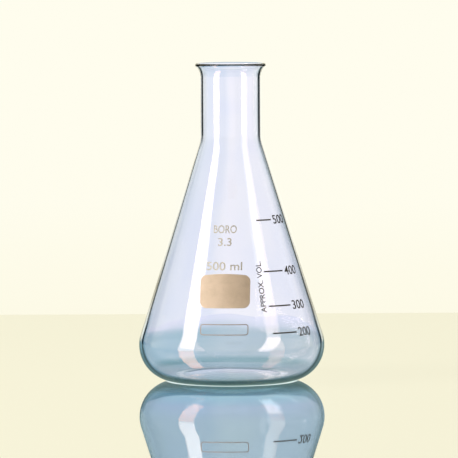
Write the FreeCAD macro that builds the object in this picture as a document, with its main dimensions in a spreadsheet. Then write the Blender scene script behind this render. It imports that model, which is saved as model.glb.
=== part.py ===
import FreeCAD, Part

# Conical (Erlenmeyer) flask of 500 ml with a narrow neck, blown in one piece from borosilicate glass.
#
# The glass is one turned shape: a standing ring round a pushed-up base, a heel, a cone, a shoulder,
# a neck and a flared lip. The enamel that is fired on to the cone is made as separate pieces: the
# writing panel, the code frame and four graduation lines.
#
# Millimetres. Z is the axis, the origin is the centre of the circle that the flask stands on, and
# the writing panel faces -Y. The graduation lines lie to its +X side.

import math
import os
from enum import IntEnum

import Sketcher
from FreeCAD import Placement, Rotation, Vector

SIZES = {
    # glass
    "base_diameter": 105.0,  # at its widest, on the heel
    "shoulder_height": 136.5,  # where the outlines of the cone and the neck would meet
    "neck_length": 43.5,  # from there to the top of the lip
    "neck_diameter": 34.0,
    "lip_diameter": 40.0,
    "heel_radius": 20.5,
    "shoulder_radius": 18.0,
    "flare_radius": 7.5,  # outside of the flare below the lip
    "lip_radius": 1.1,  # half the bead that fire polishing leaves
    "wall": 1.6,
    "base_wall": 2.1,
    "foot_width": 4.0,  # of the flat ring that the flask stands on
    "punt_height": 2.2,  # rise of the pushed-up base on the axis
    "punt_edge_radius": 14.0,
    # enamel
    "enamel": 0.08,
    "line_width": 0.8,
    "line_sweep": 19.0,  # degrees round the axis that a graduation line covers
    "line_turn": 41.7,  # degrees from the panel's middle to a line's middle
    "top_line_drop": 43.9,  # from the shoulder's height to the top graduation line
    "code_rise": 3.2,  # from the top of the heel's curve to the code frame
    "code_width": 27.0,
    "code_height": 6.1,
    "code_corner": 1.6,
    "code_line": 0.45,
    "panel_rise": 8.7,  # from the code frame to the writing panel
    "panel_width": 28.0,
    "panel_height": 18.8,
    "panel_corner": 3.6,
    "panel_top_radius": 90.0,  # of the panel's arched upper edge
}
GRADUATIONS_ML = (200, 300, 400, 500)
BLANK_SWEEP = 120.0  # degrees of enamelled cone that the panel and the frame are trimmed from
BLANK_MARGIN = 2.0  # how far that cone reaches past the piece, above and below
HEIGHT_STEP = 0.001  # how closely a graduation line's height is worked out

# The cone's slope and radius at a height, for the pieces that lie on it.
SLOPE = "wall_section.Constraints.slope"
HEEL_TOP = f"(Sizes.heel_radius * (1 + sin({SLOPE})))"
CODE_BOTTOM = f"({HEEL_TOP} + Sizes.code_rise)"
CODE_TOP = f"({CODE_BOTTOM} + Sizes.code_height)"
PANEL_BOTTOM = f"({CODE_TOP} + Sizes.panel_rise)"
PANEL_TOP = f"({PANEL_BOTTOM} + Sizes.panel_height)"


class Place(IntEnum):
    """Sketcher's numbers for the points of a curve and for a sketch's own axes."""

    START = 1
    END = 2
    CENTRE = 3
    X_AXIS = -1
    Y_AXIS = -2


START, END, CENTRE, X_AXIS, Y_AXIS = Place
doc = FreeCAD.newDocument("flask")
sheet = doc.addObject("Spreadsheet::Sheet", "Sizes")


def fill_sheet(sizes, first_row=1):
    for row, (name, value) in enumerate(sizes.items(), start=first_row):
        sheet.set(f"A{row}", name)
        sheet.set(f"B{row}", repr(value))
        sheet.setAlias(f"B{row}", name)
    doc.recompute()


def size(name):
    return float(getattr(sheet, name))


def worked_out(expression):
    """What an expression gives now: millimetres, or radians if it is an angle."""
    value = sheet.evalExpression(expression)
    if getattr(value, "Unit", None) == FreeCAD.Units.Angle:
        return math.radians(value.Value)
    return float(getattr(value, "Value", value))


def new_body(label, turn=0.0):
    """A body whose own XZ plane is turned about Z by so many degrees."""
    body = doc.addObject("PartDesign::Body", label)
    body.Label = label
    body.Placement = Placement(Vector(), Rotation(Vector(0, 0, 1), turn))
    return body


def origin_feature(body, role):
    return next(feature for feature in body.Origin.OriginFeatures if feature.Role == role)


def new_sketch(body, name, plane):
    sketch = body.newObject("Sketcher::SketchObject", name)
    sketch.AttachmentSupport = [(origin_feature(body, plane), "")]
    sketch.MapMode = "FlatFace"
    return sketch


def constrain(sketch, kind, *where):
    return sketch.addConstraint(Sketcher.Constraint(kind, *where))


def dimension(sketch, name, expression, kind, *where):
    """A named dimension that the sheet drives."""
    index = constrain(sketch, kind, *where, worked_out(expression))
    sketch.renameConstraint(index, name)
    sketch.setExpression(f"Constraints.{name}", expression)


def require_solved(sketch):
    if sketch.solve() != 0 or not sketch.FullyConstrained:
        raise RuntimeError(f"sketch {sketch.Name} is not fully constrained")


def unit(degrees):
    angle = math.radians(degrees)
    return Vector(math.cos(angle), math.sin(angle), 0)


def bearing(vector):
    return math.degrees(math.atan2(vector.y, vector.x))


class Chain:
    """Curves drawn end to end in a sketch, each tangent to the one before unless it is a corner."""

    def __init__(self, sketch, start):
        self.sketch = sketch
        self.here = start
        self.first = None
        self.last = None

    def _join(self, index, entry, leave, corner):
        if self.last:
            kind = "Coincident" if corner else "Tangent"
            constrain(self.sketch, kind, *self.last, index, entry)
        self.first = self.first or (index, entry)
        self.last = (index, leave)
        return index

    def line(self, end, corner=False):
        index = self.sketch.addGeometry(Part.LineSegment(self.here, end), False)
        self.here = end
        return self._join(index, START, END, corner)

    def arc(self, centre, leave, clockwise=False, corner=False):
        """An arc about centre, from here to where the bearing from centre is leave degrees."""
        radius = (self.here - centre).Length
        circle = Part.Circle(centre, Vector(0, 0, 1), radius)
        enter = bearing(self.here - centre)
        low, high = (leave, enter) if clockwise else (enter, leave)
        while high < low:
            high += 360
        curve = Part.ArcOfCircle(circle, math.radians(low), math.radians(high))
        index = self.sketch.addGeometry(curve, False)
        self.here = centre + unit(leave) * radius
        points = (END, START) if clockwise else (START, END)
        return self._join(index, *points, corner)

    def close(self, corner=False):
        kind = "Coincident" if corner else "Tangent"
        constrain(self.sketch, kind, *self.last, *self.first)


# The glass


def cone_slope():
    """Degrees between the axis and the line that leaves the neck's outline and touches the heel."""
    heel = size("heel_radius")
    out = size("base_diameter") / 2 - heel - size("neck_diameter") / 2
    down = size("shoulder_height") - heel
    return math.degrees(math.atan2(out, down) + math.asin(heel / math.hypot(out, down)))


def flare_drop(side_radius, reach):
    """How far the flare's centre is below the lip's, when they are reach apart."""
    across = size("lip_diameter") / 2 - size("lip_radius") - side_radius
    return math.sqrt(reach**2 - across**2)


def draw_wall(body):
    """Half the section through the glass. Returns its sketch and the curves of the inner face."""
    sketch = new_sketch(body, "wall_section", "XZ_Plane")
    neck, wall, base_wall = size("neck_diameter") / 2, size("wall"), size("base_wall")
    heel, shoulder, flare = size("heel_radius"), size("shoulder_radius"), size("flare_radius")
    lip, punt, edge = size("lip_radius"), size("punt_height"), size("punt_edge_radius")
    apex = size("shoulder_height")
    slope = cone_slope()
    outward, upward = unit(slope), unit(slope + 90)

    # The base's underside: a dome about a centre on the axis runs into an upward curve.
    heel_centre = Vector(size("base_diameter") / 2 - heel, heel, 0)
    foot = heel_centre.x - size("foot_width")
    punt_turn = 2 * math.degrees(math.atan(punt / foot))
    edge_centre = Vector(foot, edge, 0)
    dome_centre = edge_centre - unit(90 - punt_turn) * (foot / math.sin(math.radians(punt_turn)))

    thicker = base_wall - wall
    inner_heel_centre = heel_centre + upward * (thicker / upward.y)
    corner_rise = shoulder * math.tan(math.radians(slope / 2))
    shoulder_centre = Vector(neck + shoulder, apex + corner_rise, 0)
    lip_centre = Vector(size("lip_diameter") / 2 - lip, apex + size("neck_length") - lip, 0)
    flare_x = neck + flare
    flare_centre = Vector(flare_x, lip_centre.y - flare_drop(flare_x, flare + lip), 0)
    bell_centre = Vector(flare_x, lip_centre.y - flare_drop(flare_x, flare + wall - lip), 0)
    flare_end = bearing(lip_centre - flare_centre)
    bell_end = bearing(lip_centre - bell_centre)

    chain = Chain(sketch, Vector(0, punt, 0))
    under_dome = chain.arc(dome_centre, 90 - punt_turn, clockwise=True)
    under_edge = chain.arc(edge_centre, -90)
    ring = chain.line(Vector(heel_centre.x, 0, 0))
    outer_heel = chain.arc(heel_centre, slope)
    outer_cone = chain.line(shoulder_centre - outward * shoulder)
    outer_shoulder = chain.arc(shoulder_centre, 180, clockwise=True)
    outer_neck = chain.line(Vector(neck, flare_centre.y, 0))
    outer_flare = chain.arc(flare_centre, flare_end, clockwise=True)
    bead = chain.arc(lip_centre, bell_end)
    bell = chain.arc(bell_centre, 180)
    bore = chain.line(Vector(neck - wall, shoulder_centre.y, 0))
    inner_shoulder = chain.arc(shoulder_centre, slope + 180)
    inner_cone = chain.line(inner_heel_centre + outward * (heel - wall))
    inner_heel = chain.arc(inner_heel_centre, -90, clockwise=True)
    floor_ring = chain.line(Vector(foot, base_wall, 0))
    floor_edge = chain.arc(edge_centre, -90 - punt_turn, clockwise=True)
    floor_dome = chain.arc(dome_centre, 90)
    axis = chain.line(Vector(0, punt, 0), corner=True)
    chain.close(corner=True)
    meeting_point = sketch.addGeometry(Part.Point(Vector(neck, apex, 0)), True)

    for line in (ring, floor_ring):
        constrain(sketch, "Horizontal", line)
    for line in (outer_neck, bore, axis):
        constrain(sketch, "Vertical", line)
    constrain(sketch, "Parallel", outer_cone, inner_cone)
    constrain(sketch, "PointOnObject", axis, START, Y_AXIS)
    constrain(sketch, "PointOnObject", ring, START, X_AXIS)
    constrain(sketch, "PointOnObject", under_dome, CENTRE, Y_AXIS)
    constrain(sketch, "Coincident", floor_dome, CENTRE, under_dome, CENTRE)
    constrain(sketch, "Coincident", floor_edge, CENTRE, under_edge, CENTRE)
    constrain(sketch, "PointOnObject", meeting_point, START, outer_neck)
    constrain(sketch, "PointOnObject", meeting_point, START, outer_cone)

    heel_reach = "Sizes.base_diameter / 2 - Sizes.heel_radius"
    lip_reach = "Sizes.lip_diameter / 2 - Sizes.lip_radius"
    lip_height = "Sizes.shoulder_height + Sizes.neck_length - Sizes.lip_radius"
    bore_radius = "Sizes.neck_diameter / 2 - Sizes.wall"
    for name, expression, kind, *where in (
        ("punt", "Sizes.punt_height", "DistanceY", axis, END),
        ("punt_edge", "Sizes.punt_edge_radius", "Radius", under_edge),
        ("foot", f"{heel_reach} - Sizes.foot_width", "DistanceX", ring, START),
        ("base_wall", "Sizes.base_wall", "DistanceY", floor_ring, START),
        ("heel", "Sizes.heel_radius", "Radius", outer_heel),
        ("heel_reach", heel_reach, "DistanceX", outer_heel, CENTRE),
        ("inner_heel", "Sizes.heel_radius - Sizes.wall", "Radius", inner_heel),
        ("cone_wall", "Sizes.wall", "Distance", inner_cone, START, outer_cone),
        ("shoulder_height", "Sizes.shoulder_height", "DistanceY", meeting_point, START),
        ("shoulder", "Sizes.shoulder_radius", "Radius", outer_shoulder),
        ("inner_shoulder", "Sizes.shoulder_radius + Sizes.wall", "Radius", inner_shoulder),
        ("neck", "Sizes.neck_diameter / 2", "DistanceX", outer_neck, START),
        ("bore", bore_radius, "DistanceX", bore, START),
        ("flare", "Sizes.flare_radius", "Radius", outer_flare),
        ("bell", "Sizes.flare_radius + Sizes.wall", "Radius", bell),
        ("lip", "Sizes.lip_radius", "Radius", bead),
        ("lip_reach", lip_reach, "DistanceX", bead, CENTRE),
        ("lip_height", lip_height, "DistanceY", bead, CENTRE),
    ):
        dimension(sketch, name, expression, kind, *where)
    slope_index = constrain(sketch, "Angle", Y_AXIS, outer_cone, math.radians(slope))
    sketch.renameConstraint(slope_index, "slope")
    sketch.setDriving(slope_index, False)
    require_solved(sketch)
    inner_face = (bell, bore, inner_shoulder, inner_cone, inner_heel, floor_ring, floor_edge, floor_dome)
    return sketch, inner_face


def make_glass():
    """The flask and, as a solid to measure volumes in, the space inside it."""
    body = new_body("glass_body")
    sketch, inner_face = draw_wall(body)
    blown = body.newObject("PartDesign::Revolution", "blown_glass")
    blown.Profile = sketch
    blown.ReferenceAxis = (origin_feature(body, "Z_Axis"), [""])
    blown.Angle = 360
    doc.recompute()

    edges = [sketch.Geometry[index].toShape() for index in inner_face]
    rim = max((vertex.Point for vertex in edges[0].Vertexes), key=lambda point: point.y)
    mouth = Vector(0, rim.y, 0)
    floor = Vector(0, size("punt_height") + size("base_wall"), 0)
    edges += [Part.makeLine(rim, mouth), Part.makeLine(mouth, floor)]
    half = Part.Face(Part.Wire(Part.__sortEdges__(edges)))
    half.rotate(Vector(), Vector(1, 0, 0), 90)
    return body, half.revolve(Vector(), Vector(0, 0, 1), 360)


# The enamel


def on_cone(height):
    """The expression for the cone's radius at the height that another expression gives."""
    return f"Sizes.neck_diameter / 2 + (Sizes.shoulder_height - {height}) * tan({SLOPE})"


def enamel_cone(body, name, bottom, slant, sweep):
    """Enamel on the cone from a height up the slope by slant, swept equally to both sides."""
    sketch = new_sketch(body, f"{name}_section", "XZ_Plane")
    corner = Vector(worked_out(on_cone(bottom)), worked_out(bottom), 0)
    slope = math.degrees(worked_out(SLOPE))
    up = unit(slope + 90) * worked_out(slant)
    out = unit(slope) * size("enamel")
    chain = Chain(sketch, corner)
    seat = chain.line(corner + up)
    top = chain.line(corner + up + out, corner=True)
    face = chain.line(corner + out, corner=True)
    low = chain.line(corner, corner=True)
    chain.close(corner=True)
    constrain(sketch, "Parallel", seat, face)
    constrain(sketch, "Parallel", top, low)
    constrain(sketch, "Perpendicular", seat, top)
    dimension(sketch, "slope", SLOPE, "Angle", Y_AXIS, seat)
    dimension(sketch, "slant", slant, "Distance", seat)
    dimension(sketch, "thickness", "Sizes.enamel", "Distance", top)
    dimension(sketch, "bottom", bottom, "DistanceY", seat, START)
    dimension(sketch, "reach", on_cone(bottom), "DistanceX", seat, START)
    require_solved(sketch)
    swept = body.newObject("PartDesign::Revolution", name)
    swept.Profile = sketch
    swept.ReferenceAxis = (origin_feature(body, "Z_Axis"), [""])
    swept.Midplane = True
    swept.setExpression("Angle", sweep)
    doc.recompute()


def fill_height(cavity, volume):
    """The height above the foot that this volume of liquid reaches."""
    low, high = 0.0, size("shoulder_height") + size("neck_length")
    while high - low > HEIGHT_STEP:
        middle = (low + high) / 2
        if volume_below(cavity, middle) < volume:
            low = middle
        else:
            high = middle
    return middle


def volume_below(cavity, height):
    return cavity.common(Part.makeCylinder(size("base_diameter"), height)).Volume


def graduation_heights(cavity):
    """The top line's height marks the nominal volume. The others mark parts of it, by volume."""
    top_line = size("shoulder_height") - size("top_line_drop")
    nominal = volume_below(cavity, top_line)
    print(f"holds {nominal / 1000:.1f} ml to the top line, {cavity.Volume / 1000:.0f} ml to the lip")
    shares = {volume: volume / max(GRADUATIONS_ML) for volume in GRADUATIONS_ML}
    return {volume: fill_height(cavity, nominal * share) for volume, share in shares.items()}


def make_graduation_line(millilitres):
    body = new_body(f"graduation_line_{millilitres}")
    body.setExpression("Placement.Rotation.Angle", "Sizes.line_turn - 90")
    bottom = f"(Sizes.line_height_{millilitres} - Sizes.line_width / 2 * cos({SLOPE}))"
    enamel_cone(body, f"line_{millilitres}", bottom, "Sizes.line_width", "Sizes.line_sweep")
    return body


def draw_plate(sketch, name, half, bottom, top, corner, crown=None):
    """A rounded rectangle about the sketch's upright axis. All but the sketch are expressions.

    Crown is the radius of an arched upper edge, whose middle is at top.
    """
    x, y0, y1, r = (worked_out(expression) for expression in (half, bottom, top, corner))
    chain = Chain(sketch, Vector(r - x, y0, 0))
    low = chain.line(Vector(x - r, y0, 0))
    corners = [chain.arc(Vector(x - r, y0 + r, 0), 0)]
    if crown:
        big = worked_out(crown)
        lean = math.degrees(math.asin((x - r) / (big - r)))
        arch_centre = Vector(0, y1 - big, 0)
        shoulder = arch_centre.y + (big - r) * math.cos(math.radians(lean))
        right = chain.line(Vector(x, shoulder, 0))
        corners.append(chain.arc(Vector(x - r, shoulder, 0), 90 - lean))
        arch = chain.arc(arch_centre, 90 + lean)
        corners.append(chain.arc(Vector(r - x, shoulder, 0), 180))
    else:
        right = chain.line(Vector(x, y1 - r, 0))
        corners.append(chain.arc(Vector(x - r, y1 - r, 0), 90))
        arch = chain.line(Vector(r - x, y1, 0))
        corners.append(chain.arc(Vector(r - x, y1 - r, 0), 180))
    left = chain.line(Vector(-x, y0 + r, 0))
    corners.append(chain.arc(Vector(r - x, y0 + r, 0), -90))
    chain.close()
    constrain(sketch, "Horizontal", low)
    constrain(sketch, "Vertical", left)
    constrain(sketch, "Vertical", right)
    for other in corners[1:]:
        constrain(sketch, "Equal", corners[0], other)
    dimension(sketch, f"{name}_corner", corner, "Radius", corners[0])
    dimension(sketch, f"{name}_bottom", bottom, "DistanceY", low, START)
    dimension(sketch, f"{name}_half", half, "DistanceX", right, START)
    dimension(sketch, f"{name}_width", f"2 * {half}", "DistanceX", left, END, right, START)
    if crown:
        constrain(sketch, "PointOnObject", arch, CENTRE, Y_AXIS)
        dimension(sketch, f"{name}_crown", crown, "Radius", arch)
        dimension(sketch, f"{name}_arch", f"{top} - {crown}", "DistanceY", arch, CENTRE)
    else:
        constrain(sketch, "Horizontal", arch)
        dimension(sketch, f"{name}_top", top, "DistanceY", arch, START)


def draw_surround(sketch):
    """A rectangle wider than the flask, so that the enamel between it and a piece is cut away."""
    reach, high = size("base_diameter"), size("shoulder_height")
    chain = Chain(sketch, Vector(-reach, 0, 0))
    low = chain.line(Vector(reach, 0, 0))
    right = chain.line(Vector(reach, high, 0), corner=True)
    top = chain.line(Vector(-reach, high, 0), corner=True)
    left = chain.line(Vector(-reach, 0, 0), corner=True)
    chain.close(corner=True)
    constrain(sketch, "Vertical", left)
    constrain(sketch, "Vertical", right)
    constrain(sketch, "Horizontal", top)
    constrain(sketch, "PointOnObject", low, START, X_AXIS)
    constrain(sketch, "PointOnObject", low, END, X_AXIS)
    across = "2 * Sizes.base_diameter"
    dimension(sketch, "surround_reach", "Sizes.base_diameter", "DistanceX", right, START)
    dimension(sketch, "surround_across", across, "DistanceX", low, START, low, END)
    dimension(sketch, "surround_height", "Sizes.shoulder_height", "DistanceY", top, START)


def cut_through(body, sketch, name):
    """Cuts the sketch through the enamel, to both sides of the axis."""
    volume = body.Shape.Volume
    pocket = body.newObject("PartDesign::Pocket", name)
    pocket.Profile = sketch
    pocket.Type = "ThroughAll"
    pocket.Midplane = True
    doc.recompute()
    if not 0 < pocket.Shape.Volume < volume:
        raise RuntimeError(f"{name} cut nothing, or everything")


def blank_for(body, name, bottom, top):
    """Enamel on the cone that is larger than the piece that is trimmed from it."""
    low = f"({bottom} - {BLANK_MARGIN})"
    slant = f"({top} - {bottom} + {2 * BLANK_MARGIN}) / cos({SLOPE})"
    enamel_cone(body, name, low, slant, f"{BLANK_SWEEP}")


def make_writing_panel():
    body = new_body("writing_panel", -90)
    blank_for(body, "panel_blank", PANEL_BOTTOM, PANEL_TOP)
    sketch = new_sketch(body, "panel_outline", "YZ_Plane")
    draw_surround(sketch)
    half, corner = "Sizes.panel_width / 2", "Sizes.panel_corner"
    draw_plate(sketch, "panel", half, PANEL_BOTTOM, PANEL_TOP, corner, "Sizes.panel_top_radius")
    require_solved(sketch)
    cut_through(body, sketch, "panel_trim")
    return body


def make_code_frame():
    body = new_body("code_frame", -90)
    blank_for(body, "code_blank", CODE_BOTTOM, CODE_TOP)
    outside = new_sketch(body, "frame_outline", "YZ_Plane")
    draw_surround(outside)
    half, corner = "Sizes.code_width / 2", "Sizes.code_corner"
    draw_plate(outside, "frame", half, CODE_BOTTOM, CODE_TOP, corner)
    require_solved(outside)
    cut_through(body, outside, "frame_trim")
    window = new_sketch(body, "frame_window", "YZ_Plane")
    line = "Sizes.code_line"
    inner = (f"({half} - {line})", f"({CODE_BOTTOM} + {line})", f"({CODE_TOP} - {line})")
    draw_plate(window, "window", *inner, f"({corner} - {line})")
    require_solved(window)
    cut_through(body, window, "frame_opening")
    return body


def require_sound(bodies):
    faults = [item.Name for item in doc.Objects if {"Invalid", "Error"} & set(item.State)]
    if faults:
        raise RuntimeError(f"these did not build: {faults}")
    for body in bodies:
        shape = body.Shape
        if shape.isNull() or not shape.isValid() or len(shape.Solids) != 1:
            raise RuntimeError(f"{body.Label} is not one valid solid")


fill_sheet(SIZES)
glass, cavity = make_glass()
heights = graduation_heights(cavity)
line_heights = {f"line_height_{volume}": round(height, 3) for volume, height in heights.items()}
fill_sheet(line_heights, first_row=len(SIZES) + 1)
bodies = [glass, make_writing_panel(), make_code_frame()]
bodies += [make_graduation_line(volume) for volume in GRADUATIONS_ML]
doc.recompute()
require_sound(bodies)
os.makedirs("parts", exist_ok=True)
for body in bodies:
    body.Shape.exportStep(f"parts/{body.Label}.step")
    print(f"{body.Label}: {body.Shape.Volume / 1000:.3f} cm3")
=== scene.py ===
"""Looks of a 500 ml conical (Erlenmeyer) flask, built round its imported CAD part.

The flask is one piece of borosilicate glass, so a finely turned mesh stands in for the CAD solid.
The writing panel, the code frame and the lines of the scale stay as the CAD has them and get
their enamel. The numerals and words are added here, each a thin fired film that lies on the cone.

Metres, in the part's own frame: Z is the axis, the writing panel faces -Y and the scale lies
towards +X. Sizes given in millimetres are multiplied by MM where they are used.
"""

import math

import bmesh
import bpy
from mathutils import Matrix, Vector, noise


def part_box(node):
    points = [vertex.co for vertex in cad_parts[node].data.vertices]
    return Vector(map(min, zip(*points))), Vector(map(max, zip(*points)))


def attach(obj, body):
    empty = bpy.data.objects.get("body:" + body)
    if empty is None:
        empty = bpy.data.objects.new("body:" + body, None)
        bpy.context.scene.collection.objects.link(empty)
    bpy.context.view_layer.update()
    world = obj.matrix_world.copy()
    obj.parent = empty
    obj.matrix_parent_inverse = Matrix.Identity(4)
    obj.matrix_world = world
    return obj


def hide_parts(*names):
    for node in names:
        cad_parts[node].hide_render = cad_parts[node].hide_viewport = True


MM = 0.001

# ------------------------------------------------------------------ sizes of the flask, millimetres

NECK_RADIUS = 17.0
SHOULDER_HEIGHT = 136.5  # where the outlines of cone and neck would meet
LIP_RADIUS = 20.0
HEEL_CURVE = 20.5
SHOULDER_CURVE = 18.0
FLARE_CURVE = 7.5
BEAD_RADIUS = 1.1
WALL = 1.6
BASE_WALL = 2.1
FOOT_WIDTH = 4.0
PUNT_HEIGHT = 2.2
PUNT_EDGE_CURVE = 14.0
FACETS = 288  # round the glass
ARC_STEP = 3.0  # degrees between the points of an arc in the profile
RUN_STEP = 4.0  # between the points of a straight run in the profile
ONE_PLACE = 0.004  # points of the profile that are closer than this are one
RIPPLE = 0.12  # how far the inside of blown glass strays from true
RIPPLE_LENGTH = 21.0  # from one such ripple to the next

GLASS_IOR = 1.473
POLISH_WAVE = 0.1  # the fire polish's waves, drawn ten times as high as they are
POLISH_STRENGTH = 0.3

# Painted shade: the dark bands along the outline of the glass, from the foot up. Each gives its
# colours by the distance inward from the outline.
BAND_WIDTH = 10.0
FOOT_SHADE_BAND = (
    (0.0, "#62827C"),
    (1.5, "#64847E"),
    (3.1, "#6C8C86"),
    (4.6, "#7A9A96"),
    (5.8, "#94B2B0"),
    (7.0, "#C8DCDC"),
    (8.2, "#FFFFFF"),
)
HEEL_SHADE_BAND = (
    (0.0, "#8CA8A4"),
    (1.4, "#94B8BE"),
    (1.7, "#284852"),
    (2.2, "#284852"),
    (2.5, "#C8D8DC"),
    (3.5, "#FFFFFF"),
)
WIDEST_SHADE_BAND = (
    (0.0, "#A8B0A6"),
    (0.4, "#B8C0B4"),
    (0.6, "#F4FCFA"),
    (1.3, "#F4FCFA"),
    (1.6, "#2C4048"),
    (2.1, "#2C4048"),
    (2.4, "#D0E0E4"),
    (3.5, "#FFFFFF"),
)
CONE_SHADE_BAND = (
    (0.0, "#F0F4F0"),
    (0.3, "#FFFFFF"),
    (0.95, "#FFFFFF"),
    (1.07, "#060E10"),
    (1.8, "#060E10"),
    (1.92, "#F0F6F8"),
    (2.2, "#FFFFFF"),
)
NECK_SHADE_BAND = (
    (0.0, "#FFFFFF"),
    (0.45, "#FFFFFF"),
    (0.6, "#141E20"),
    (1.3, "#141E20"),
    (1.5, "#FFFFFF"),
)
# Over these heights each band takes over from the one below. Where a radius is given, the
# distances are for that radius and grow with the radius.
PAINTED_OUTLINE_SHADE = (
    (0, 0, None, FOOT_SHADE_BAND),
    (2.5, 6.5, None, HEEL_SHADE_BAND),
    (14, 21, None, WIDEST_SHADE_BAND),
    (28, 44, 50.0, CONE_SHADE_BAND),
    (130, 142, None, NECK_SHADE_BAND),
)

# Where the heel turns under, its own curve and not the flask's radius says how far a place looks
# to lie from the outline. It does so below the first of these lengths of the normal's level part,
# fading out by the second, and at the flask's front up to FRONT_TOP.
TURNED_UNDER = (0.15, 0.45)
FRONT_TOP = 8.0

# Painted shade: a darker teal tint where sight leaves the far heel, by height
FAR_HEEL_REACH = 12.0
FAR_HEEL_SHADE_COLOURS = (
    (2.9, "#FFFFFF"),
    (3.6, "#CEE4E3"),
    (5.0, "#C4DEDD"),
    (6.1, "#CCE2E1"),
    (7.2, "#EDF5F5"),
    (8.3, "#FFFFFF"),
)

# Painted reflection: the glass's tint where the table mirrors it, by height
MIRROR_REACH = 30.0
PAINTED_REFLECTION_COLOURS = (
    (0, "#7CAEB0"),
    (2, "#84B6BE"),
    (5, "#B0DAE2"),
    (11, "#C3D7E3"),
    (18, "#C1D7DC"),
    (25, "#BED5D9"),
)

# ---------------------------------------------------- enamel and lettering, millimetres and degrees

ENAMEL_IOR = 1.5
PASTE_PATCH = 7.0  # from one patch of thicker paste to the next
SCREEN_GRAIN = 0.4  # the screen's threads lie 0.12 mm apart, and are drawn wider so that they show
GRAIN_SHARE = 0.35  # of the threads in how thick the paste looks, the rest being the patches'
GRAIN_HEIGHT = 0.02
GRAIN_STRENGTH = 0.3
DULLNESS_SPREAD = 0.08  # how far the roughness strays with the patches

FILM = 0.07  # thickness of the fired enamel
FILM_GAP = 0.012  # keeps the film's underside off the facets of the glass
FILM_STEP = 1.2  # widest flat piece of film, so that it follows the glass
STROKE_WEIGHT = 0.008  # how much bolder than the plain letters, as a share of their size
NUMERAL_SIZE = (11.0, 4.9)  # width and height
NUMERAL_GAP = 1.4  # from the end of a line to its numeral
VOLUME_SIZE = (20.2, 4.6)
VOLUME_PLACE = (-1.0, 67.7)  # turn from the panel's middle, and height
NOTE_SIZE = (28.0, 3.2)
NOTE_PLACE = (28.0, 56.0)
GLASS_TYPE_HEIGHT = 4.4
# Words, width, turn and height
GLASS_TYPE_PLACES = (("BORO", 13.0, -1.0, 88.0), ("3.3", 7.6, -1.0, 81.0))

# --------------------------------------------------------- the studio: millimetres, degrees, metres

CAMERA_TURN = 5.0  # degrees round the flask from the panel's side towards the scale
CAMERA_RISE = 3.8
CAMERA_ROLL = -0.28
CAMERA_DISTANCE = 3.0
CAMERA_AIM = Vector((0.0, 0.0, 0.086))
CAMERA_PAN = -0.00125  # sideways, so that the flask stands a little right of the middle
VIEW_WIDTH = 0.2594  # what the camera sees at the flask
SENSOR_WIDTH = 36.0
CAMERA_REACH = 20.0  # the farthest that it sees
SOFTBOX_DISTANCE = 1.2
# Name, turn from the camera's side, width, lowest and highest edge, watts, colour, and whether
# it is there to be mirrored, or else to light the enamel
SOFTBOXES = (
    ("left_softbox", -58.0, 0.46, -0.06, 1.5, 19.0, "#FFE4D6", True),
    ("right_softbox", 58.0, 0.42, -0.12, 1.5, 6.0, "#FFDCC6", True),
    ("enamel_softbox", -68.0, 0.6, 0.0, 0.9, 18.0, "#FFFFFF", False),
)
ROOM_LIGHT = (0.07, 0.08, 0.08, 1.0)  # low, since the enamel has its own softbox

# The studio seen through the glass: degrees aside of the middle of each of its four walls, and
# degrees up from the horizon
WALL_COLOURS = (
    (-28, "#F8FCFA"),
    (-14, "#F6FAFC"),
    (-8, "#EAF2FA"),
    (-0.9, "#EEF2FB"),
    (-0.5, "#F7F9FE"),
    (-0.2, "#FEFCFF"),
    (0.9, "#F8F8FD"),
    (6, "#FFFCFF"),
    (14, "#F2F4F6"),
    (24, "#B0B8B8"),
)
CEILING_COLOURS = (
    (-0.5, "#FFFFFF"),
    (1, "#F0F6FA"),
    (6, "#F6FAFC"),
    (20, "#F0F4FA"),
)
# The studio as the glass mirrors it: two dark boards stand behind, on both sides. Degrees from
# straight behind, and up and down.
BOARD_COLOURS = (
    (24, "#FFFBE0"),
    (28, "#1C3236"),
    (56, "#1C3236"),
    (62, "#FFFBE0"),
)
BOARD_HEIGHT = (
    (-34, "#000000"),
    (-30, "#FFFFFF"),
    (12, "#FFFFFF"),
    (16, "#000000"),
)
PALE_WALL = "#FFFDEE"
MIRRORED_TWICE = "#5C8490"  # the tone of what is mirrored once more
BACKDROP_COLOURS = ((-4.7, "#FDFAE6"), (-3.4, "#FFFDEE"))  # degrees up from the horizon

TABLE_HALF = 0.459
TABLE_CORNER = 0.06
TABLE_THICKNESS = 0.012
TABLE_CORNER_STEPS = 8
TABLE_CLOUD = 0.2  # from one faint cloud in the sheet to the next
TABLE_POLISH = 0.92  # share of the sheet that mirrors
TABLE_SHEEN = 0.5  # the same where it is seen through the glass
TABLE_ROUGHNESS = 0.02
SHINE_ROUGHNESS = 0.03  # of the sheet as the glass mirrors it
TABLE_FADE = (0.28, 0.445)  # over these distances behind the flask, seen through it
TABLE_REACH = 0.06  # how far from the axis the colours below are set
# The sheet's colour seen through the glass, by metres to the right of the middle
TABLE_COLOURS = (
    (-0.055, "#A0CCE8"),
    (-0.02, "#C6DAEE"),
    (0.02, "#CADAEA"),
    (0.055, "#E0E6EC"),
)
# Painted light: the same under the flask, the softboxes' pink painted in, and its share by metres
# from the axis
PAINTED_UNDER_LIGHT = (
    (-0.034, "#E2EEF3"),
    (-0.022, "#FAEAE6"),
    (-0.01, "#E9F1F3"),
    (0.01, "#E9F1F3"),
    (0.02, "#FDF0EC"),
    (0.034, "#E5EBEF"),
)
UNDER_SHARE = ((0.029, "#FFFFFF"), (0.037, "#000000"))
# Painted light: a glowing ring round the glass's foot: metres from the axis, and how strong it is
PAINTED_FOOT_GLOW = (
    (0.033, "#000000"),
    (0.0345, "#FFFFFF"),
    (0.0365, "#FFFFFF"),
    (0.038, "#000000"),
)

MIX_A, MIX_B, MIX_RESULT = 6, 7, 2  # a Mix node's sockets for colours
LEVEL = (1, 1, 0)  # keeps the level part of a direction or place

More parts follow.
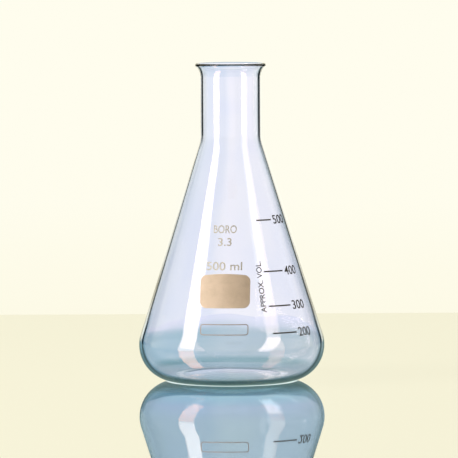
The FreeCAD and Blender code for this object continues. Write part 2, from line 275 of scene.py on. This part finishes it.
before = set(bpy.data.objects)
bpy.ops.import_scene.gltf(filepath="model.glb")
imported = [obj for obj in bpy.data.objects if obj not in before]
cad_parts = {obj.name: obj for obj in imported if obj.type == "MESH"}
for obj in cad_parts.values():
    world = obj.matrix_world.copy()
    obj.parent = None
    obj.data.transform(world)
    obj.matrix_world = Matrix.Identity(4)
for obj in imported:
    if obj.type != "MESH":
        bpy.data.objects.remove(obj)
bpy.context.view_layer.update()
GLASS_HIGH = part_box("glass_body")[1]
BASE_RADIUS = GLASS_HIGH.x / MM
HEIGHT = GLASS_HIGH.z / MM


# -------------------------------------------------------------------------------------- small tools


def srgb(hex_colour):
    """A hex colour as linear red, green, blue and an alpha of 1."""
    channels = [int(hex_colour[i : i + 2], 16) / 255 for i in (1, 3, 5)]
    return (*[c / 12.92 if c <= 0.04045 else ((c + 0.055) / 1.055) ** 2.4 for c in channels], 1.0)


def node_tree(owner):
    """The emptied node tree of a material or world."""
    owner.use_nodes = True
    owner.node_tree.nodes.clear()
    return owner.node_tree


def add(tree, kind, inputs=None, stops=(), **settings):
    """Adds a node. Each input, named by its label or place, takes a value or another socket."""
    node = tree.nodes.new("ShaderNode" + kind)
    for name, value in settings.items():
        setattr(node, name, value)
    for key, value in (inputs or {}).items():
        if isinstance(value, bpy.types.NodeSocket):
            tree.links.new(value, node.inputs[key])
        else:
            node.inputs[key].default_value = value
    for i, (position, colour) in enumerate(stops):
        ramp = node.color_ramp.elements
        element = ramp[i] if i < len(ramp) else ramp.new(position)
        element.position = position
        element.color = colour
    return node


def new_object(name, mesh, materials):
    """Makes an object of a bmesh, which is used up."""
    data = bpy.data.meshes.new(name)
    mesh.to_mesh(data)
    mesh.free()
    for material in materials:
        data.materials.append(material)
    thing = bpy.data.objects.new(name, data)
    bpy.context.scene.collection.objects.link(thing)
    return thing


def polar(radius, turn, height):
    """A point by its radius, its turn in radians from -Y towards +X, and its height, in mm."""
    return Vector((radius * math.sin(turn), -radius * math.cos(turn), height)) * MM


def cone_slope():
    """Radians between the axis and the line from the neck's outline that touches the heel."""
    out = BASE_RADIUS - HEEL_CURVE - NECK_RADIUS
    down = SHOULDER_HEIGHT - HEEL_CURVE
    return math.atan2(out, down) + math.asin(HEEL_CURVE / math.hypot(out, down))


SLOPE = cone_slope()


def cone_radius(height):
    """The cone's outside radius at a height."""
    return NECK_RADIUS + (SHOULDER_HEIGHT - height) * math.tan(SLOPE)


# --------------------------------------------------------------------------------- glass: how it is


def arc(centre, radius, start, stop):
    """Points of an arc in the profile's plane, from one bearing in degrees to another."""
    count = max(2, math.ceil(abs(stop - start) / ARC_STEP))
    bearings = [math.radians(start + (stop - start) * i / count) for i in range(count + 1)]
    return [(centre[0] + radius * math.cos(b), centre[1] + radius * math.sin(b)) for b in bearings]


def bearing(origin, target):
    """Degrees from the profile's outward direction up to the line from origin to target."""
    return math.degrees(math.atan2(target[1] - origin[1], target[0] - origin[0]))


def smooth_run(points):
    """Drops a point that repeats the one before it, and adds points along the straight runs."""
    run = [points[0]]
    for point in points[1:]:
        last = run[-1]
        length = math.dist(last, point)
        if length > ONE_PLACE:
            count = math.ceil(length / RUN_STEP)
            for i in range(1, count + 1):
                run.append(tuple(a + (b - a) * i / count for a, b in zip(last, point)))
    return run


def glass_profile():
    """The wall's outside and inside, each as (radius, height) from the axis up to the lip."""
    slope = math.degrees(SLOPE)
    heel = (BASE_RADIUS - HEEL_CURVE, HEEL_CURVE)
    foot = heel[0] - FOOT_WIDTH
    punt_turn = math.degrees(2 * math.atan(PUNT_HEIGHT / foot))
    edge = (foot, PUNT_EDGE_CURVE)
    dome_radius = foot / math.sin(math.radians(punt_turn)) - PUNT_EDGE_CURVE
    dome = (0.0, PUNT_HEIGHT - dome_radius)
    thicker = BASE_WALL - WALL
    inner_heel = (heel[0] - thicker * math.tan(SLOPE), heel[1] + thicker)
    shoulder_rise = SHOULDER_CURVE * math.tan(SLOPE / 2)
    shoulder = (NECK_RADIUS + SHOULDER_CURVE, SHOULDER_HEIGHT + shoulder_rise)
    bead = (LIP_RADIUS - BEAD_RADIUS, HEIGHT - BEAD_RADIUS)
    flare_x = NECK_RADIUS + FLARE_CURVE
    across = flare_x - bead[0]
    flare = (flare_x, bead[1] - math.sqrt((FLARE_CURVE + BEAD_RADIUS) ** 2 - across**2))
    bell_curve = FLARE_CURVE + WALL
    bell = (flare_x, bead[1] - math.sqrt((bell_curve - BEAD_RADIUS) ** 2 - across**2))

    outside = arc(dome, dome_radius, 90, 90 - punt_turn)
    outside += arc(edge, PUNT_EDGE_CURVE, -90 - punt_turn, -90)
    outside += arc(heel, HEEL_CURVE, -90, slope)
    outside += arc(shoulder, SHOULDER_CURVE, 180 + slope, 180)
    outside += arc(flare, FLARE_CURVE, 180, bearing(flare, bead))
    outside += arc(bead, BEAD_RADIUS, bearing(bead, flare), 90)
    inside = arc(dome, dome_radius + BASE_WALL, 90, 90 - punt_turn)
    inside += arc(edge, PUNT_EDGE_CURVE - BASE_WALL, -90 - punt_turn, -90)
    inside += arc(inner_heel, HEEL_CURVE - WALL, -90, slope)
    inside += arc(shoulder, SHOULDER_CURVE + WALL, 180 + slope, 180)
    inside += arc(bell, bell_curve, 180, bearing(bell, bead))
    inside += arc(bead, BEAD_RADIUS, bearing(bell, bead), 90)
    return smooth_run(outside), smooth_run(inside)


def make_glass(materials):
    """Turns the profile round the axis. Outside and inside have a material slot each."""
    outside, inside = glass_profile()
    mesh = bmesh.new()

    def ring(radius, height, stray):
        """Blown glass strays from the round in long soft waves, by stray at most."""
        points = []
        for i in range(FACETS):
            turn = math.tau * i / FACETS
            bend = 0.0
            if stray:
                bend = stray * noise.noise(polar(radius, turn, height) / (RIPPLE_LENGTH * MM))
            points.append(mesh.verts.new(polar(radius - bend, turn, height)))
        return points

    def skin(points, slot, stray):
        """Rings from the axis up to the lip's top ring, which both skins share."""
        pole = mesh.verts.new(polar(0.0, 0.0, points[0][1]))
        rings = [ring(*point, stray * fade(point[1])) for point in points[1:-1]] + [top_ring]
        for i in range(FACETS):
            j = (i + 1) % FACETS
            join([pole, rings[0][i], rings[0][j]], slot)
            for low, high in zip(rings, rings[1:]):
                join([low[i], high[i], high[j], low[j]], slot)

    def fade(height):
        """No ripple at the lip, which is rolled true, and half at the floor."""
        return min(1.0, (HEIGHT - height) / HEEL_CURVE, 0.5 + height / HEEL_CURVE)

    def join(corners, slot):
        face = mesh.faces.new(corners)
        face.material_index = slot
        face.smooth = True

    top_ring = ring(*outside[-1], 0.0)
    skin(outside, 0, 0.0)
    skin(inside, 1, RIPPLE)
    bmesh.ops.recalc_face_normals(mesh, faces=mesh.faces)
    glass = new_object("flask_glass", mesh, materials)
    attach(glass, "root")
    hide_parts("glass_body")


# ---------------------------------------------------------------------------------- glass: its look


def borosilicate(name, outline):
    """Borosilicate glass 3.3, blown and fire-polished: clear, with no colour of its own but a
    faint coolness. Along its outline the glass carries painted shade, dark bands that stand in
    for the dark edges of a hollow body, and outline says that this skin carries that painted shade.
    """
    material = bpy.data.materials.new(name)
    tree = node_tree(material)
    place = add(tree, "TexCoord").outputs["Object"]
    cloud = add(
        tree,
        "TexNoise",
        {"Vector": place, "Scale": 1 / (RIPPLE_LENGTH * MM), "Detail": 2.0, "Roughness": 0.4},
    ).outputs["Fac"]
    tint = add(
        tree,
        "ValToRGB",
        {"Fac": cloud},
        stops=[(0.35, srgb("#F8F9FF")), (0.65, srgb("#FCFCFF"))],
    ).outputs["Color"]
    # Painted shade: dark bands along the outline of the outside skin
    if outline:
        tint = darken_outline(tree, place, tint)
    waves = {"Height": cloud, "Strength": POLISH_STRENGTH, "Distance": POLISH_WAVE * MM}
    relief = add(tree, "Bump", waves)
    shader = add(
        tree,
        "BsdfPrincipled",
        {
            "Base Color": tint,
            "Roughness": 0.0,
            "IOR": GLASS_IOR,
            "Transmission Weight": 1.0,
            "Normal": relief.outputs["Normal"],
        },
    )
    add(tree, "OutputMaterial", {"Surface": shader.outputs[0]})
    return material


def darken_outline(tree, place, tint):
    """Multiplies tint by the painted shade along the glass's outline and the painted shade of the
    far heel or, where the table mirrors the flask, by the painted reflection colour that it has
    there.
    """
    flat = add(tree, "VectorMath", {0: place, 1: LEVEL}, operation="MULTIPLY").outputs[0]
    radius = add(tree, "VectorMath", {0: flat}, operation="LENGTH").outputs["Value"]
    height = add(tree, "SeparateXYZ", {0: place}).outputs["Z"]
    inward = inward_from_outline(tree, radius, height)
    # Painted shade: the dark bands along the outline
    bands = outline_bands(tree, inward, radius, height)
    leaving = add(tree, "NewGeometry").outputs["Backfacing"]
    mirrors = add(tree, "LightPath").outputs["Glossy Depth"]
    direct = add(tree, "Math", {0: 1.0, 1: mirrors}, operation="SUBTRACT", use_clamp=True)
    far = add(tree, "Math", {0: direct.outputs[0], 1: leaving}, operation="MULTIPLY").outputs[0]
    # Painted shade of the far heel, where sight leaves it
    heel = colour_by_height(tree, height, FAR_HEEL_SHADE_COLOURS, FAR_HEEL_REACH)
    tinted = {0: far, MIX_A: bands, MIX_B: heel}
    tinted = add(tree, "Mix", tinted, data_type="RGBA", blend_type="MULTIPLY")
    entering = add(tree, "Math", {0: 1.0, 1: leaving}, operation="SUBTRACT").outputs[0]
    by_table = add(tree, "Math", {0: mirrors, 1: entering}, operation="MULTIPLY").outputs[0]
    # Painted reflection: the glass's colour where the table mirrors it
    mirrored = colour_by_height(tree, height, PAINTED_REFLECTION_COLOURS, MIRROR_REACH)
    cooled = {0: by_table, MIX_A: tinted.outputs[MIX_RESULT], MIX_B: mirrored}
    cooled = add(tree, "Mix", cooled, data_type="RGBA").outputs[MIX_RESULT]
    # A face of glass takes only the root of its tint
    strength = add(tree, "Gamma", {"Color": cooled, "Gamma": 2.0}).outputs[0]
    dark = {0: 1.0, MIX_A: tint, MIX_B: strength}
    mixed = add(tree, "Mix", dark, data_type="RGBA", blend_type="MULTIPLY")
    return mixed.outputs[MIX_RESULT]


def inward_from_outline(tree, radius, height):
    """How far a place on the glass looks to lie inward from the outline, in BAND_WIDTHs.

    Seen square on, that is radius x cos^2 / 2, and more where the surface leans. Where the heel
    turns under, and at the front of the foot, the heel's own curve counts and not the radius.
    """
    facing = add(tree, "LayerWeight", {"Blend": 0.5}).outputs["Facing"]
    cosine = add(tree, "Math", {0: 1.0, 1: facing}, operation="SUBTRACT").outputs[0]
    normal = add(tree, "NewGeometry").outputs["Normal"]
    level = add(tree, "VectorMath", {0: normal, 1: LEVEL}, operation="MULTIPLY").outputs[0]
    upright = add(tree, "VectorMath", {0: level}, operation="LENGTH").outputs["Value"]
    leaning = add(tree, "Math", {0: radius, 1: upright}, operation="DIVIDE").outputs[0]
    under = {"Value": upright, "From Min": TURNED_UNDER[0], "From Max": TURNED_UNDER[1]}
    under = add(tree, "MapRange", under).outputs[0]
    curve = {0: under, 2: HEEL_CURVE * MM, 3: leaning}
    curve = add(tree, "Mix", curve, data_type="FLOAT").outputs[0]
    ahead = add(tree, "Math", {0: cosine, 1: upright}, operation="DIVIDE").outputs[0]
    ahead = add(tree, "Math", {0: ahead, 1: 2.0}, operation="POWER").outputs[0]
    to_side = add(tree, "Math", {0: 1.0, 1: ahead}, operation="SUBTRACT", use_clamp=True)
    over = {"Value": height, "From Min": FRONT_TOP * MM, "From Max": HEEL_CURVE * MM}
    over = add(tree, "MapRange", over).outputs[0]
    aside = add(tree, "Math", {0: to_side.outputs[0], 1: over}, operation="MAXIMUM")
    curve = {0: aside.outputs[0], 2: HEEL_CURVE * MM, 3: curve}
    curve = add(tree, "Mix", curve, data_type="FLOAT").outputs[0]
    square = add(tree, "Math", {0: cosine, 1: 2.0}, operation="POWER").outputs[0]
    inward = add(tree, "Math", {0: square, 1: curve}, operation="MULTIPLY").outputs[0]
    return add(tree, "Math", {0: inward, 1: 2 * BAND_WIDTH * MM}, operation="DIVIDE").outputs[0]


def outline_bands(tree, inward, radius, height):
    """The painted shade along the outline, each band taking over from the one below."""
    bands = None
    for low, high, reference, stops in PAINTED_OUTLINE_SHADE:
        distance = inward
        if reference:
            shrink = add(tree, "Math", {0: reference * MM, 1: radius}, operation="DIVIDE")
            shrunk = {0: inward, 1: shrink.outputs[0]}
            distance = add(tree, "Math", shrunk, operation="MULTIPLY").outputs[0]
        colours = ramp_over(stops, 0, BAND_WIDTH)
        band = add(tree, "ValToRGB", {"Fac": distance}, stops=colours).outputs["Color"]
        if bands:
            above = {"Value": height, "From Min": low * MM, "From Max": high * MM}
            above = add(tree, "MapRange", above, interpolation_type="SMOOTHSTEP").outputs[0]
            mix = add(tree, "Mix", {0: above, MIX_A: bands, MIX_B: band}, data_type="RGBA")
            band = mix.outputs[MIX_RESULT]
        bands = band
    return bands


def colour_by_height(tree, height, stops, reach):
    """A colour from stops by height, from 0 up to reach."""
    rise = add(tree, "MapRange", {"Value": height, "From Max": reach * MM}).outputs[0]
    return add(tree, "ValToRGB", {"Fac": rise}, stops=ramp_over(stops, 0, reach)).outputs["Color"]


# --------------------------------------------------------------------------------------- the enamel


def enamel(name, full, thin, roughness):
    """Ceramic enamel: a paste of ground glass and pigment, screen-printed and fired on. It is
    matt and a little uneven, with thin spots where the screen left less paste.
    """
    material = bpy.data.materials.new(name)
    tree = node_tree(material)
    place = add(tree, "TexCoord").outputs["Object"]
    patches = add(
        tree,
        "TexNoise",
        {"Vector": place, "Scale": 1 / (PASTE_PATCH * MM), "Detail": 4.0, "Roughness": 0.6},
    ).outputs["Fac"]
    threads = {"Vector": place, "Scale": 1 / (SCREEN_GRAIN * MM), "Detail": 2.0}
    grain = add(tree, "TexNoise", threads).outputs["Fac"]
    cover = {0: GRAIN_SHARE, 2: patches, 3: grain}
    cover = add(tree, "Mix", cover, data_type="FLOAT").outputs[0]
    colour = add(tree, "ValToRGB", {"Fac": cover}, stops=[(0.3, srgb(thin)), (0.6, srgb(full))])
    threads = {"Height": grain, "Strength": GRAIN_STRENGTH, "Distance": GRAIN_HEIGHT * MM}
    relief = add(tree, "Bump", threads)
    smooth, dull = roughness - DULLNESS_SPREAD, roughness + DULLNESS_SPREAD
    dullness = add(tree, "MapRange", {"Value": patches, "To Min": smooth, "To Max": dull})
    shader = add(
        tree,
        "BsdfPrincipled",
        {
            "Base Color": colour.outputs["Color"],
            "Roughness": dullness.outputs[0],
            "IOR": ENAMEL_IOR,
            "Normal": relief.outputs["Normal"],
        },
    )
    add(tree, "OutputMaterial", {"Surface": shader.outputs[0]})
    return material


def finish_node(node, material):
    """Gives a piece of the CAD its material."""
    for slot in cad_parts[node].material_slots:
        slot.material = material


# ------------------------------------------------------------------------------------ the lettering


def lettering(words, size, upright=False):
    """A flat bmesh of words, in mm about its middle, fitted to a width and height. Upright
    words climb the cone.
    """
    text = bpy.data.curves.new(words, "FONT")
    text.body = words
    text.offset = STROKE_WEIGHT
    draft = bpy.data.objects.new(words, text)
    flat = bmesh.new()
    drawn = bpy.data.meshes.new_from_object(draft)
    flat.from_mesh(drawn)
    bpy.data.objects.remove(draft)
    bpy.data.meshes.remove(drawn)
    xs = [vertex.co.x for vertex in flat.verts]
    ys = [vertex.co.y for vertex in flat.verts]
    middle = Vector(((min(xs) + max(xs)) / 2, (min(ys) + max(ys)) / 2, 0))
    stretch = Vector((size[0] / (max(xs) - min(xs)), size[1] / (max(ys) - min(ys)), 1))
    for vertex in flat.verts:
        vertex.co = (vertex.co - middle) * stretch
    if upright:
        bmesh.ops.rotate(flat, matrix=Matrix.Rotation(math.pi / 2, 3, "Z"), verts=flat.verts)
    return flat


def lay_film(name, flat, material, slot, turn, height):
    """Lays a flat bmesh on the cone as a closed film, its middle at a turn and height."""
    cut_into_strips(flat)

    def on_glass(point, lift):
        level = height + point.y
        radius = cone_radius(level)
        around = math.radians(turn) + point.x / radius
        return polar(radius + lift * math.cos(SLOPE), around, level + lift * math.sin(SLOPE))

    film = bmesh.new()
    under = {v: film.verts.new(on_glass(v.co, FILM_GAP)) for v in flat.verts}
    over = {v: film.verts.new(on_glass(v.co, FILM_GAP + FILM)) for v in flat.verts}
    for face in flat.faces:
        film.faces.new([over[v] for v in face.verts])
        film.faces.new([under[v] for v in reversed(face.verts)])
    for edge in flat.edges:
        if edge.is_boundary:
            here = edge.link_loops[0].vert
            there = edge.other_vert(here)
            film.faces.new([over[there], over[here], under[here], under[there]])
    flat.free()
    piece = new_object(name, film, [material])
    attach(piece, "root")


def cut_into_strips(flat):
    """Cuts a flat bmesh every FILM_STEP across, so that it can bend, and turns its faces up."""
    xs = [vertex.co.x for vertex in flat.verts]
    low, high = min(xs), max(xs)
    count = math.ceil((high - low) / FILM_STEP)
    for i in range(1, count):
        everything = list(flat.verts) + list(flat.edges) + list(flat.faces)
        place = Vector((low + (high - low) * i / count, 0, 0))
        bmesh.ops.bisect_plane(flat, geom=everything, plane_co=place, plane_no=(1, 0, 0))
    for face in flat.faces:
        if face.normal.z < 0:
            face.normal_flip()


# --------------------------------------------------------------------------------------- the studio


def from_camera(turn, distance, height):
    """A point by its turn from the camera's side, in degrees, towards the scale."""
    return polar(distance / MM, math.radians(CAMERA_TURN + turn), height / MM)


def make_camera():
    """A long lens, a little above the flask and turned towards the scale."""
    lens = bpy.data.cameras.new("camera")
    lens.sensor_width = SENSOR_WIDTH
    lens.lens = SENSOR_WIDTH * CAMERA_DISTANCE / VIEW_WIDTH
    lens.clip_end = CAMERA_REACH
    camera = bpy.data.objects.new("camera", lens)
    bpy.context.scene.collection.objects.link(camera)
    rise = math.radians(CAMERA_RISE)
    back = from_camera(0.0, math.cos(rise), 0.0) + Vector((0, 0, math.sin(rise)))
    turned = back.to_track_quat("Z", "Y").to_matrix()
    turned = turned @ Matrix.Rotation(math.radians(CAMERA_ROLL), 3, "Z")
    aim = CAMERA_AIM + turned.col[0] * CAMERA_PAN
    camera.matrix_world = Matrix.Translation(aim + back * CAMERA_DISTANCE) @ turned.to_4x4()
    bpy.context.scene.camera = camera


def make_softbox(name, turn, width, low, high, power, colour, mirrored):
    """An upright rectangular softbox that faces the flask. One that is mirrored shows in what
    shines and lights nothing matt. Any other lights what is matt and shows nowhere.
    """
    lamp = bpy.data.lights.new(name, "AREA")
    lamp.shape = "RECTANGLE"
    lamp.size = width
    lamp.size_y = high - low
    lamp.energy = power
    lamp.color = srgb(colour)[:3]
    box = bpy.data.objects.new(name, lamp)
    bpy.context.scene.collection.objects.link(box)
    box.location = from_camera(turn, SOFTBOX_DISTANCE, (low + high) / 2)
    facing = Vector((box.location.x, box.location.y, 0))
    box.rotation_euler = facing.to_track_quat("Z", "Y").to_euler()
    box.visible_camera = False
    box.visible_glossy = mirrored
    box.visible_transmission = mirrored
    box.visible_diffuse = not mirrored


def make_world():
    """A pale studio with four pale walls, and two dark boards behind the flask. What the glass
    shows of it is cooler than the backdrop: lavender, bluer to the left of each wall's middle
    and above.
    """
    world = bpy.data.worlds.new("studio")
    bpy.context.scene.world = world
    tree = node_tree(world)
    rays = add(tree, "LightPath").outputs
    direction = add(tree, "TexCoord").outputs["Generated"]
    facing = add(
        tree,
        "VectorRotate",
        {"Vector": direction, "Angle": -math.radians(CAMERA_TURN)},
        rotation_type="Z_AXIS",
    ).outputs[0]
    axes = add(tree, "SeparateXYZ", {0: facing}).outputs
    turn = add(tree, "Math", {0: axes["X"], 1: axes["Y"]}, operation="ARCTAN2").outputs[0]
    steepness = add(tree, "Math", {0: axes["Z"]}, operation="ARCSINE").outputs[0]
    upward = {"Value": steepness, "From Min": -math.pi / 2, "From Max": math.pi / 2}
    upward = add(tree, "MapRange", upward).outputs[0]
    backdrop = add(tree, "ValToRGB", {"Fac": upward}, stops=ramp_over(BACKDROP_COLOURS, -90, 90))
    light = ROOM_LIGHT
    seen_by = {
        "Is Glossy Ray": studio_in_glass(tree, turn, upward, rays["Glossy Depth"]),
        "Is Camera Ray": backdrop.outputs["Color"],
        "Is Transmission Ray": studio_through_glass(tree, turn, upward),
    }
    for ray, colour in seen_by.items():
        mix = add(tree, "Mix", {0: rays[ray], MIX_A: light, MIX_B: colour}, data_type="RGBA")
        light = mix.outputs[MIX_RESULT]
    studio = add(tree, "Background", {"Color": light, "Strength": 1.0})
    add(tree, "OutputWorld", {"Surface": studio.outputs[0]})


def studio_through_glass(tree, turn, upward):
    """The pale walls, each coloured by the degrees aside of its middle and upward."""
    eighth = math.pi / 4
    aside = add(tree, "Math", {0: turn, 1: eighth, 2: -eighth}, operation="WRAP").outputs[0]
    across = {"Value": aside, "From Min": -eighth, "From Max": eighth}
    across = add(tree, "MapRange", across).outputs[0]
    walls = add(tree, "ValToRGB", {"Fac": across}, stops=ramp_over(WALL_COLOURS, -45, 45))
    ceiling = add(tree, "ValToRGB", {"Fac": upward}, stops=ramp_over(CEILING_COLOURS, -90, 90))
    both = {0: 1.0, MIX_A: walls.outputs["Color"], MIX_B: ceiling.outputs["Color"]}
    return add(tree, "Mix", both, data_type="RGBA", blend_type="MULTIPLY").outputs[MIX_RESULT]


def studio_in_glass(tree, turn, upward, mirrors):
    """The pale walls with the two dark boards, dimmer where they are mirrored twice."""
    sideways = add(tree, "Math", {0: turn}, operation="ABSOLUTE").outputs[0]
    sideways = add(tree, "MapRange", {"Value": sideways, "From Max": math.pi}).outputs[0]
    boards = add(tree, "ValToRGB", {"Fac": sideways}, stops=ramp_over(BOARD_COLOURS, 0, 180))
    shallow = add(tree, "ValToRGB", {"Fac": upward}, stops=ramp_over(BOARD_HEIGHT, -90, 90))
    once = {0: shallow.outputs["Color"], MIX_A: srgb(PALE_WALL), MIX_B: boards.outputs["Color"]}
    once = add(tree, "Mix", once, data_type="RGBA").outputs[MIX_RESULT]
    again = add(tree, "Math", {0: mirrors, 1: 1.0}, operation="SUBTRACT").outputs[0]
    twice = {0: again, MIX_A: once, MIX_B: srgb(MIRRORED_TWICE)}
    return add(tree, "Mix", twice, data_type="RGBA").outputs[MIX_RESULT]


def ramp_over(stops, low, high):
    """Colour ramp stops, given over a range such as degrees."""
    return [((place - low) / (high - low), srgb(colour)) for place, colour in stops]


def table_top():
    """Pale opal acrylic sheet, polished: it mirrors what stands on it, and keeps its shadow.
    Seen through the glass it is cooler, with painted pink light under the flask, and mirrored by
    the glass it is a painted reflection, dim and warm.
    """
    material = bpy.data.materials.new("polished_opal_acrylic")
    tree = node_tree(material)
    rays = add(tree, "LightPath").outputs
    place = add(tree, "TexCoord").outputs["Object"]
    outward = add(tree, "VectorMath", {0: place}, operation="LENGTH").outputs["Value"]
    near = add(tree, "MapRange", {"Value": outward, "From Max": TABLE_REACH}).outputs[0]
    seen = polished_sheet(tree, place, near)
    through = sheet_through_glass(tree, place, near)
    # Painted reflection: the sheet's look in the glass
    painted_reflection = sheet_in_glass(tree)
    for ray, shader in (("Is Glossy Ray", painted_reflection), ("Is Transmission Ray", through)):
        both = {0: rays[ray], 1: seen.outputs[0], 2: shader.outputs[0]}
        seen = add(tree, "MixShader", both)
    add(tree, "OutputMaterial", {"Surface": seen.outputs[0]})
    return material


def polished_sheet(tree, place, near):
    """The sheet in the open, with painted light round the glass's foot: a glowing ring."""
    cloud = add(tree, "TexNoise", {"Vector": place, "Scale": 1 / TABLE_CLOUD}).outputs["Fac"]
    cream = [(0.3, srgb("#FBF7DC")), (0.7, srgb("#FFFBE4"))]
    cream = add(tree, "ValToRGB", {"Fac": cloud}, stops=cream).outputs["Color"]
    body = add(tree, "BsdfDiffuse", {"Color": cream})
    mirror = {"Color": srgb("#FCFCFC"), "Roughness": TABLE_ROUGHNESS}
    mirror = add(tree, "BsdfGlossy", mirror)
    polished = {0: TABLE_POLISH, 1: body.outputs[0], 2: mirror.outputs[0]}
    polished = add(tree, "MixShader", polished)
    # Painted light: a glowing ring on the sheet round the glass's foot
    ring = add(tree, "ValToRGB", {"Fac": near}, stops=ramp_over(PAINTED_FOOT_GLOW, 0, TABLE_REACH))
    painted_glow = add(tree, "Emission", {"Color": srgb("#E8F6F4"), "Strength": 1.0})
    lit = {0: ring.outputs["Color"], 1: polished.outputs[0], 2: painted_glow.outputs[0]}
    return add(tree, "MixShader", lit)


def sheet_through_glass(tree, place, near):
    """The sheet seen through the glass: cooler, with its far edge lost and with painted pink light
    under the flask.
    """
    axes = add(tree, "SeparateXYZ", {0: place}).outputs
    across = {"Value": axes["X"], "From Min": -TABLE_REACH, "From Max": TABLE_REACH}
    across = add(tree, "MapRange", across).outputs[0]
    behind, under = (
        add(
            tree,
            "ValToRGB",
            {"Fac": across},
            stops=ramp_over(colours, -TABLE_REACH, TABLE_REACH),
        ).outputs["Color"]
        for colours in (TABLE_COLOURS, PAINTED_UNDER_LIGHT)
    )
    glow = add(tree, "Emission", {"Color": behind, "Strength": 1.0})
    sheen = add(tree, "BsdfGlossy", {"Color": srgb("#A8C0D0"), "Roughness": TABLE_ROUGHNESS})
    sheet = add(tree, "MixShader", {0: TABLE_SHEEN, 1: glow.outputs[0], 2: sheen.outputs[0]})
    fade = {"Value": axes["Y"], "From Min": TABLE_FADE[0], "From Max": TABLE_FADE[1]}
    fade = add(tree, "MapRange", fade, interpolation_type="SMOOTHSTEP").outputs[0]
    haze = add(tree, "Emission", {"Color": srgb("#E9ECFA"), "Strength": 1.0})
    faded = add(tree, "MixShader", {0: fade, 1: sheet.outputs[0], 2: haze.outputs[0]})
    # Painted light: the pink that the softboxes cast under the flask
    share = add(tree, "ValToRGB", {"Fac": near}, stops=ramp_over(UNDER_SHARE, 0, TABLE_REACH))
    under = add(tree, "Emission", {"Color": under, "Strength": 1.0})
    through = {0: share.outputs["Color"], 1: faded.outputs[0], 2: under.outputs[0]}
    return add(tree, "MixShader", through)


def sheet_in_glass(tree):
    """Painted reflection: the sheet as the glass mirrors it is a dim glow, with the softboxes in it
    warmed.
    """
    dim = add(tree, "Emission", {"Color": srgb("#6C8A8E"), "Strength": 1.0})
    warm = add(tree, "BsdfGlossy", {"Color": srgb("#FFCCA0"), "Roughness": SHINE_ROUGHNESS})
    return add(tree, "AddShader", {0: dim.outputs[0], 1: warm.outputs[0]})


def make_table():
    """A square sheet with rounded corners, square to the camera."""
    mesh = bmesh.new()
    corners = []
    for turn in (45, 135, 225, 315):
        middle = from_camera(turn, (TABLE_HALF - TABLE_CORNER) * math.sqrt(2), 0.0)
        for i in range(TABLE_CORNER_STEPS + 1):
            around = turn - 45 + 90 * i / TABLE_CORNER_STEPS
            corners.append(middle + from_camera(around, TABLE_CORNER, 0.0))
    face = mesh.faces.new([mesh.verts.new(corner) for corner in corners])
    lowered = bmesh.ops.extrude_face_region(mesh, geom=[face])["geom"]
    moved = [item for item in lowered if isinstance(item, bmesh.types.BMVert)]
    bmesh.ops.translate(mesh, vec=(0, 0, -TABLE_THICKNESS), verts=moved)
    bmesh.ops.recalc_face_normals(mesh, faces=mesh.faces)
    table = new_object("table_top", mesh, [table_top()])


# ----------------------------------------------------------------------------------- the whole part


def print_scale(material):
    """Each line of the scale keeps its CAD film and gets its numeral beside it."""
    for volume in (200, 300, 400, 500):
        node = f"graduation_line_{volume}"
        finish_node(node, material)
        low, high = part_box(node)
        height = (low.z + high.z) / 2 / MM
        end = math.degrees(math.atan2(high.x, -high.y))
        radius = cone_radius(height)
        along = NUMERAL_GAP + NUMERAL_SIZE[0] / 2
        turn = end + math.degrees(along / radius)
        flat = lettering(str(volume), NUMERAL_SIZE)
        lay_film(f"numeral_{volume}", flat, material, "scale_enamel", turn, height)


def print_words(pale, dark):
    """The volume, the note beside the scale, and the kind of glass."""
    flat = lettering("500 ml", VOLUME_SIZE)
    lay_film("volume_words", flat, pale, "label_enamel", *VOLUME_PLACE)
    flat = lettering("APPROX. VOL.", NOTE_SIZE, upright=True)
    lay_film("scale_note", flat, dark, "scale_enamel", *NOTE_PLACE)
    for words, width, turn, height in GLASS_TYPE_PLACES:
        flat = lettering(words, (width, GLASS_TYPE_HEIGHT))
        name = "glass_type_" + words.replace(".", "_").lower()
        lay_film(name, flat, pale, "label_enamel", turn, height)


panel_enamel = enamel("white_marking_enamel", "#E2CBB2", "#D0B99E", 0.6)
words_enamel = enamel("sand_lettering_enamel", "#D2CCBE", "#BEB8AA", 0.6)
frame_enamel = enamel("grey_marking_enamel", "#B0A095", "#8F8078", 0.6)
dark_enamel = enamel("dark_scale_enamel", "#242220", "#3A3632", 0.55)

make_glass([borosilicate("borosilicate_outside", True), borosilicate("borosilicate_inside", False)])
finish_node("writing_panel", panel_enamel)
finish_node("code_frame", frame_enamel)
print_scale(dark_enamel)
print_words(words_enamel, dark_enamel)
make_table()
make_world()
for softbox in SOFTBOXES:
    make_softbox(*softbox)
make_camera()
bpy.context.scene.view_settings.view_transform = "Standard"
